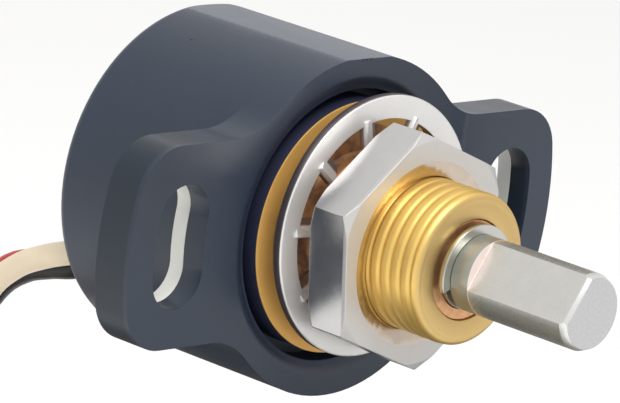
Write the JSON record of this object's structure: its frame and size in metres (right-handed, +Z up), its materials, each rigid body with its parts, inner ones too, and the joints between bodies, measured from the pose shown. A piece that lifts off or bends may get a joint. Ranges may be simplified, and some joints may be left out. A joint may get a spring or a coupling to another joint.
{
  "type": "hall effect angle sensor",
  "caption": "Round rotary position sensor with slotted mounting ears, a threaded brass bushing with nut and tooth washer, a turning shaft with a flat, and tied leads behind.",
  "frame": {"origin": "on the shaft axis, in the plane of the body's front face, which the mounting surface meets", "axes": "-Y along the shaft towards its free end, +X along the two ears, +Z up towards the flat on the body"},
  "size_m": [0.031, 0.0569, 0.051],
  "materials": {
    "black_plastic": "satin moulded",
    "steel_plate": "dull plated",
    "brass": "turned",
    "bronze": "sintered, oiled",
    "stainless": "ground",
    "nickel": "bright nickel plate",
    "magnet": "nickel-plated magnet",
    "board": "solder mask",
    "chip": "moulded package",
    "capacitor": "fired",
    "resistor": "fired",
    "solder": "bright solder",
    "rubber": "matte",
    "red_pvc": "soft insulation",
    "cream_pvc": "soft insulation",
    "black_pvc": "soft insulation",
    "nylon": "moulded strap"
  },
  "bodies": {
    "body": {"housing": "black_plastic", "slot_plates": "steel_plate", "bushing": "brass", "front_bearing": "bronze", "rear_bearing": "bronze", "thrust_washer": "stainless", "circuit_board": "board", "hall_chip": "chip", "capacitors": "capacitor", "resistors": "resistor", "solder_joints": "solder", "spacer_ring": "black_plastic", "rear_cover": "black_plastic", "lead_grommet": "rubber", "lock_washer": "nickel", "hex_nut": "nickel", "red_lead": "red_pvc", "white_lead": "cream_pvc", "black_lead": "black_pvc", "lead_coil": "cream_pvc", "coil_tie": "nylon"},
    "rotor": {"shaft": "stainless", "retaining_ring": "stainless", "magnet_holder": "brass", "magnet": "magnet"}
  },
  "joints": [
    {"name": "shaft_turn", "type": "hinge", "parent": "body", "child": "rotor", "pos_m": [0, 0, 0], "axis": [0, -1, 0], "continuous": true}
  ]
}
